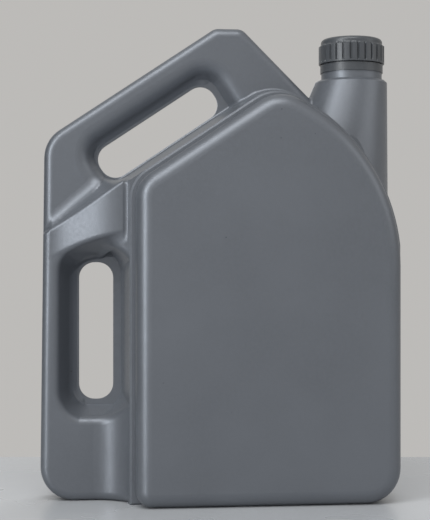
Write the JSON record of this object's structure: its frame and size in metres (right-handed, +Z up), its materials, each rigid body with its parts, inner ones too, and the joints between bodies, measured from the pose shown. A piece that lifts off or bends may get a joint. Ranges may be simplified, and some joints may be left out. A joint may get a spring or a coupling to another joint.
{
  "type": "jerrycan",
  "caption": "Blow-moulded plastic jerrycan: deep rounded tank, slanted carrying grip, upright pouring grip and a grooved screw cap with tamper band on an offset neck.",
  "frame": {"origin": "middle of the can's outline on the floor, in the mould's parting plane", "axes": "+X along the width towards the neck's side, +Y through the thickness towards the back, +Z up; the pictured face looks towards -Y"},
  "size_m": [0.2448, 0.11, 0.3246],
  "materials": {
    "can_plastic": "satin silver-grey polyethylene, lightly textured by the mould",
    "cap_plastic": "satin dark grey polypropylene",
    "liner_foam": "matte pale foam"
  },
  "bodies": {
    "can": {"canister": "can_plastic", "tamper_band": "cap_plastic"},
    "liner": {"cap_liner": "liner_foam"},
    "cap": {"screw_cap": "cap_plastic"}
  },
  "joints": [
    {"name": "cap_rise", "type": "slide", "parent": "can", "child": "liner", "axis": [0, 0, 1], "range_m": [0, 0.0161]},
    {"name": "cap_turn", "type": "hinge", "parent": "liner", "child": "cap", "pos_m": [0.09561, 0, 0.31], "axis": [0, 0, 1], "range_deg": [0, 1440]}
  ],
  "couplings": [
    {"joint": "cap_rise", "follows": "cap_turn", "m_per_rad": 0.00063662}
  ]
}
